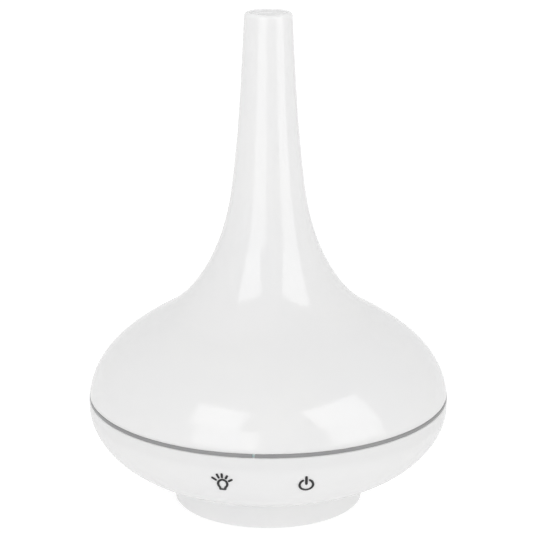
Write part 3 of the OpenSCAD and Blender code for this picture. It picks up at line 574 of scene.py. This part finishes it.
def inner_lid():
    """Mist guide: flat rim, skirt, domed roof and chimney, all one thin wall."""
    wall, soft = 1.8, 0.5
    basin_r, skirt_gap, skirt_w, skirt_h = 64, 0.6, 1.6, 4
    bore_r, bore_len, lip_round, root_round = 10, 6, 0.6, 1.5
    dome_top = 76
    rim_z = RING_BOTTOM_Z
    rim_r, chimney_top = corners("inner_lid")[1][[0, 2]]
    skirt_r = basin_r - skirt_gap
    skirt_in_r = skirt_r - skirt_w
    chimney_r = bore_r + wall
    bore_low = dome_top - bore_len
    step_r = chimney_r - 0.2
    dome = bezier([skirt_in_r + wall, rim_z + wall], [skirt_in_r + wall, rim_z + wall + 12],
                  [chimney_r + 21, dome_top - 1], [chimney_r + root_round, dome_top], 36)
    under = inset(dome, wall)
    profile = np.vstack([
        [[skirt_r, rim_z], [rim_r - soft, rim_z]],
        arc([rim_r - soft, rim_z + soft], soft, -90, 0, 4),
        arc([rim_r - soft, rim_z + wall - soft], soft, 0, 90, 4),
        dome, arc([chimney_r + root_round, dome_top + root_round], root_round, 270, 180, 5)[1:],
        arc([chimney_r - lip_round, chimney_top - lip_round], lip_round, 0, 90, 5),
        [[bore_r, chimney_top], [bore_r, bore_low], [step_r, bore_low], [step_r, dome_top - wall]],
        under[::-1],
        [[skirt_in_r, rim_z - skirt_h], [skirt_r, rim_z - skirt_h]]])
    return hand_over("mist_guide_lid", *lathe(profile), "mist_guide", ["inner_lid"], "milky_tank", MILKY)


# ---- Printed icons ----

ICON_LINE = 1.1                  # width of a printed line
ICON_LIFT = 0.15                 # how far the ink stands off the bowl
LAMP_X, POWER_X = -19.9, 16.5
CAP_STEPS = 7                    # points along each rounded end of a line
LAMP_RAYS = (                    # angle from straight up, near end and far end
    (-56, 3.65, 5.4), (-27, 3.85, 5.5), (-4, 3.85, 5.3), (23, 3.7, 4.9), (55, 3.4, 4.75))


def stroke(path, width=ICON_LINE):
    """An ink line: a closed flat cushion along the path, round at both ends, its underside in the bowl."""
    path = np.asarray(path, float)
    first, last = path[1] - path[0], path[-1] - path[-2]
    first, last = first / np.linalg.norm(first), last / np.linalg.norm(last)
    half = width / 2
    cap = half * (1 - np.cos(np.linspace(0, math.pi / 2, CAP_STEPS)))
    cap_reach = np.sqrt(np.maximum(half**2 - (half - cap) ** 2, 1e-4))
    begin = path[0] - first * (half - cap)[:, None]
    end = path[-1] + last * (half - cap[::-1])[:, None]
    line = np.vstack([begin, path[1:-1], end])
    reach = np.concatenate([cap_reach, np.full(len(path) - 2, half), cap_reach[::-1]])
    along = np.vstack([np.tile(first, (CAP_STEPS, 1)), np.gradient(path, axis=0)[1:-1],
                       np.tile(last, (CAP_STEPS, 1))])
    along /= np.linalg.norm(along, axis=1)[:, None]
    side = np.stack([-along[:, 1], along[:, 0]], 1)
    across = np.array([-1, -0.9, -0.6, 0, 0.6, 0.9, 1, 0])
    lift = ICON_LIFT * np.array([-0.3, 0.8, 1, 1, 1, 0.8, -0.3, -0.5])
    flat = line[:, None] + across[None, :, None] * reach[:, None, None] * side[:, None]
    x, z = flat[..., 0], flat[..., 1]
    r = radius_at(OUTLINE, z.ravel()).reshape(z.shape) + lift
    points = np.stack([x, -np.sqrt(r * r - x * x), z], 2).reshape(-1, 3)
    rows, columns = len(line), len(across)
    faces = [f[::-1] for f in grid_faces(rows, columns, close_columns=True)]
    faces += [list(range(columns)), list(range((rows - 1) * columns, rows * columns))[::-1]]
    return points, faces


def lamp_icon():
    """A bulb outline with five short rays over it."""
    centre = np.array([LAMP_X, TOUCH_Z - 0.4])
    glass_r, glass_stretch = 2.0, 1.2
    stem_x, stem_z = 1.0, -3.2
    round_part = arc([0, 0], 1, 232, -52, 28) * [glass_r, glass_r * glass_stretch]
    glass = np.vstack([[[-stem_x, stem_z]], round_part, [[stem_x, stem_z]]]) + centre
    base = np.linspace([-stem_x, stem_z], [stem_x, stem_z], 8) + centre
    rays = []
    for angle, near, far in LAMP_RAYS:
        direction = [math.sin(math.radians(angle)), math.cos(math.radians(angle))]
        rays.append(np.linspace(near, far, 6)[:, None] * direction + centre)
    strokes = [stroke(p) for p in (glass, base, *rays)]
    return hand_over("lamp_icon_ink", *join(*strokes), "base", ["lamp_icon"], "icon_ink", INK)


def power_icon():
    """An open ring with a short bar in its gap."""
    centre = np.array([POWER_X, TOUCH_Z - 0.5])
    ring_r, half_gap = 3.5 - ICON_LINE / 2, 31
    bar_top, bar_w = 4.2, 1.2
    ring = arc([0, 0], ring_r, 90 + half_gap, 450 - half_gap, 36) + centre
    bar = np.linspace([0, 0.6], [0, bar_top], 8) + centre
    return hand_over("power_icon_ink", *join(stroke(ring), stroke(bar, bar_w)), "base", ["power_icon"],
                     "icon_ink", INK)


# ---- Springs and wires ----

def touch_springs():
    """Contact springs: a wire round a helix with a flat closed turn at each end."""
    wire_r, coil_r, turns = 0.35, 2.85, 5
    longest = TOUCH_FRONT_Y - corners("touch_springs")[0][1] - 2 * wire_r
    parts = []
    for x, shorter_by in ((LAMP_X, 0), (POWER_X, 0.6)):
        length = longest - shorter_by
        t = np.linspace(0, 1, 40 * turns + 1)
        rise = np.clip((t * turns - 0.8) / (turns - 1.6), 0, 1) * length
        a = t * turns * 2 * math.pi
        path = np.stack([coil_r * np.cos(a), coil_r * np.sin(a), rise + wire_r], 1)
        parts.append(placed(tube(path, wire_r, 10), TOWARDS_FRONT, (x, TOUCH_FRONT_Y, TOUCH_Z)))
    return hand_over("contact_springs", *join(*parts), "base", ["touch_springs"], "steel", STEEL)


def lead(name, node, slot, finish, *, count, start, pull, step, end, end_pull, end_step, across,
         by=None, by_way=None):
    """Parallel insulated wires, each on one cubic curve, or on two where it passes a point on the way."""
    insulation_r = 0.6
    start, pull, step, end, end_pull, end_step = (
        np.array(p, float) for p in (start, pull, step, end, end_pull, end_step))
    parts = []
    for i in range(count):
        k = i - (count - 1) / 2
        a, d = start + k * step, end + k * end_step
        if by is None:
            path = bezier(a, a + pull, d + end_pull, d, 28)
        else:
            m, way = np.array(by, float) + k * step, np.array(by_way, float)
            path = np.vstack([bezier(a, a + pull, m - way, m, 20),
                              bezier(m, m + way, d + end_pull, d, 20)[1:]])
        parts.append(tube(path, insulation_r, 14, across))
    return hand_over(name, *join(*parts), "base", [node], slot, finish)


def wires():
    """The four bundles of leads, on the same curves as the frame's."""
    socket_z = 19.4
    fan_z = corners("fan_frame")[0][2]
    lead("fan_leads", "fan_wires", "red_wire", RED, count=2,
         start=(-24, -1, socket_z), pull=(0, 0, 7), step=(2, 0, 0),
         end=(-15, -17, fan_z + 5), end_pull=(-6, 0, 0), end_step=(0, 0, 2), across=(0, 1, 0))
    lead("transducer_leads", "transducer_wires", "white_wire", CREAM, count=2,
         start=(-20, 15, socket_z), pull=(0, 0, 5), step=(0, 2, 0),
         end=(-2, 2, 25.9), end_pull=(0, 0, -6.5), end_step=(0, 2, 0), across=(0, 1, 0))
    lead("lamp_leads", "led_wires", "blue_wire", BLUE, count=3,
         start=(19, 14, socket_z), pull=(0, 0, 3), step=(0, 2, 0),
         end=(15, 16.5, 26), end_pull=(0, 0, -3), end_step=(0, 2, 0), across=(0, 1, 0))
    lead("touch_leads", "touch_wires", "yellow_wire", YELLOW, count=3,
         start=(24, -1, socket_z), pull=(0, 0, 5), step=(2, 0, 0),
         end=(20, -69.1, 32.1), end_pull=(0, 3, 0), end_step=(2, 0, 0), across=(1, 0, 0),
         by=(35, -27, 24.0), by_way=(1, -12, 1))


top_cover()
lower_housing()
trim_ring()
inner_lid()
lamp_icon()
power_icon()
touch_springs()
wires()


# ---- Finishes on the nodes that keep their own shape ----

EDGE_ROUND, FINE_EDGE_ROUND = 0.12, 0.05
KEPT_CRISP = ("foot_cover",)


def edge_width(node):
    """How much a node's sharp edges are rounded: less on small pieces, nothing on those kept crisp."""
    if node in KEPT_CRISP:
        return 0
    fine = "screws" in node or node in ("controller_chip", "leds")
    return FINE_EDGE_ROUND if fine else EDGE_ROUND


def soften(obj, width):
    """Joins loose triangles, then rounds sharp edges by a width, or splits them where the width is 0."""
    obj.data.shade_smooth()
    weld = obj.modifiers.new("weld", "WELD")
    weld.merge_threshold = 2e-6
    if not width:
        crisp = obj.modifiers.new("crisp_edges", "EDGE_SPLIT")
        crisp.split_angle = math.radians(30)
        return
    bevel = obj.modifiers.new("edge_round", "BEVEL")
    bevel.width = width * MM
    bevel.segments = 2
    bevel.limit_method = "ANGLE"
    bevel.angle_limit = math.radians(40)
    bevel.use_clamp_overlap = True
    even = obj.modifiers.new("even_shading", "WEIGHTED_NORMAL")
    even.weight = 80


NODE_FINISHES = {
    "foot_cover": WHITE, "foot_pads": RUBBER, "case_screws": STEEL, "water_tank": MILKY,
    "transducer_disc": BRASS, "transducer_seal": RUBBER, "transducer_plate": ALUMINIUM,
    "transducer_screws": STEEL, "led_board": BOARD, "leds": LAMP, "led_screws": STEEL,
    "air_duct": NYLON, "duct_seal": RUBBER, "fan_frame": BLACK, "fan_rotor": BLACK, "fan_magnet": FERRITE,
    "fan_shaft": STEEL, "fan_bush": BRASS, "fan_stator": STEEL, "fan_coils": COPPER, "fan_screws": STEEL,
    "main_board": BOARD, "board_screws": STEEL, "board_sockets": NYLON, "heat_sink": ALUMINIUM,
    "power_transistor": EPOXY, "inductors": FERRITE, "capacitors": SLEEVE, "controller_chip": EPOXY,
    "dc_jack": BLACK, "dc_jack_pin": STEEL, "touch_board": BOARD, "touch_screws": STEEL,
}

for node, material in NODE_FINISHES.items():
    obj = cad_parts[node]
    obj.data.materials.clear()
    obj.data.materials.append(material)
    soften(obj, edge_width(node))


# ---- Light, floor and camera ----

BACKDROP = 1.02                          # brightness of the backdrop as the camera sees it
FLOOR_GLOW, FLOOR_SEEN = 0.45, 0.64      # the floor's glow on the object and towards the camera
FLASK_MIDDLE = np.array([0, 0, 0.11])    # what the softboxes face, in metres
LIGHT_DISTANCE = 1.5                     # from there to each softbox, in metres


def world_light(strength):
    """Even studio light on the object; the camera itself sees a plain white backdrop."""
    world = bpy.data.worlds.new("studio")
    bpy.context.scene.world = world
    world.use_nodes = True
    nodes, links = world.node_tree.nodes, world.node_tree.links
    nodes.clear()
    out = nodes.new("ShaderNodeOutputWorld")
    mix = nodes.new("ShaderNodeMixShader")
    path = nodes.new("ShaderNodeLightPath")
    even, backdrop = nodes.new("ShaderNodeBackground"), nodes.new("ShaderNodeBackground")
    even.inputs["Color"].default_value = (1, 1, 1, 1)
    even.inputs["Strength"].default_value = strength
    backdrop.inputs["Color"].default_value = (1, 1, 1, 1)
    backdrop.inputs["Strength"].default_value = BACKDROP
    links.new(path.outputs["Is Camera Ray"], mix.inputs["Fac"])
    links.new(even.outputs["Background"], mix.inputs[1])
    links.new(backdrop.outputs["Background"], mix.inputs[2])
    links.new(mix.outputs["Shader"], out.inputs["Surface"])


def softbox(name, azimuth, elevation, shine, fill):
    """A rectangular light over a stretch of azimuth and elevation as seen from the flask's middle.

    Shine is what the gloss shows of it and fill is what it adds to the body of the colour.
    """
    a, e = math.radians(sum(azimuth) / 2), math.radians(sum(elevation) / 2)
    towards = np.array([math.sin(a) * math.cos(e), -math.cos(a) * math.cos(e), math.sin(e)])
    for use, radiance in (("shine", shine), ("fill", fill)):
        if not radiance:
            continue
        light = bpy.data.lights.new(f"{name}_{use}", "AREA")
        light.shape = "RECTANGLE"
        light.size = 2 * LIGHT_DISTANCE * math.cos(e) * math.tan(math.radians(azimuth[1] - azimuth[0]) / 2)
        light.size_y = 2 * LIGHT_DISTANCE * math.tan(math.radians(elevation[1] - elevation[0]) / 2)
        light.energy = radiance * math.pi * light.size * light.size_y
        lamp = bpy.data.objects.new(light.name, light)
        bpy.context.scene.collection.objects.link(lamp)
        lamp.location = FLASK_MIDDLE + LIGHT_DISTANCE * towards
        lamp.rotation_euler = (math.pi / 2 - e, 0, a)
        lamp.visible_camera = False
        lamp.visible_diffuse = use == "fill"
        lamp.visible_glossy = use == "shine"


def floor():
    """A pale table top under the foot that glows a little, as a lit white sweep does."""
    mesh = bpy.data.meshes.new("floor")
    half = 6
    mesh.from_pydata([(-half, -half, 0), (half, -half, 0), (half, half, 0), (-half, half, 0)], [],
                     [(0, 1, 2, 3)])
    top = bpy.data.objects.new("floor", mesh)
    bpy.context.scene.collection.objects.link(top)
    f = Finish("pale_floor")
    f.colour(f.ramp(f.noise(60, 2), (0.4, (0.5, 0.5, 0.5)), (0.6, (0.51, 0.51, 0.51))))
    f.set(Roughness=0.8, Emission_Color=(1, 1, 1, 1), Specular_IOR_Level=0.0)
    seen = f.nodes.new("ShaderNodeLightPath").outputs["Is Camera Ray"]
    f.links.new(f.spread(seen, 0, 1, FLOOR_GLOW, FLOOR_SEEN), f.shader.inputs["Emission Strength"])
    mesh.materials.append(f.material)


def camera():
    """A long lens in front of the flask, a little above it, looking slightly down."""
    place = np.array([-0.83, -903.86, 374.95])
    looks_down = 0.283145
    data = bpy.data.cameras.new("camera")
    data.lens = 137.78
    data.sensor_width = 36
    data.clip_start, data.clip_end = 0.05, 50
    view = bpy.data.objects.new("camera", data)
    bpy.context.scene.collection.objects.link(view)
    view.location = place * MM
    view.rotation_euler = (math.pi / 2 - looks_down, 0, 0)
    bpy.context.scene.camera = view


world_light(0.81)
softbox("key_left", (-55, -17), (23, 50), 2.15, 0)
softbox("key_right", (31, 76), (23, 50), 2.2, 0)
softbox("strip_left", (-47, -6), (-10, 23), 1.6, 0.42)
softbox("strip_right", (38, 74), (-10, 23), 1.8, 0.62)
softbox("front", (-28, 28), (8, 48), 0, 0.62)
floor()
camera()
bpy.context.scene.view_settings.view_transform = "Standard"
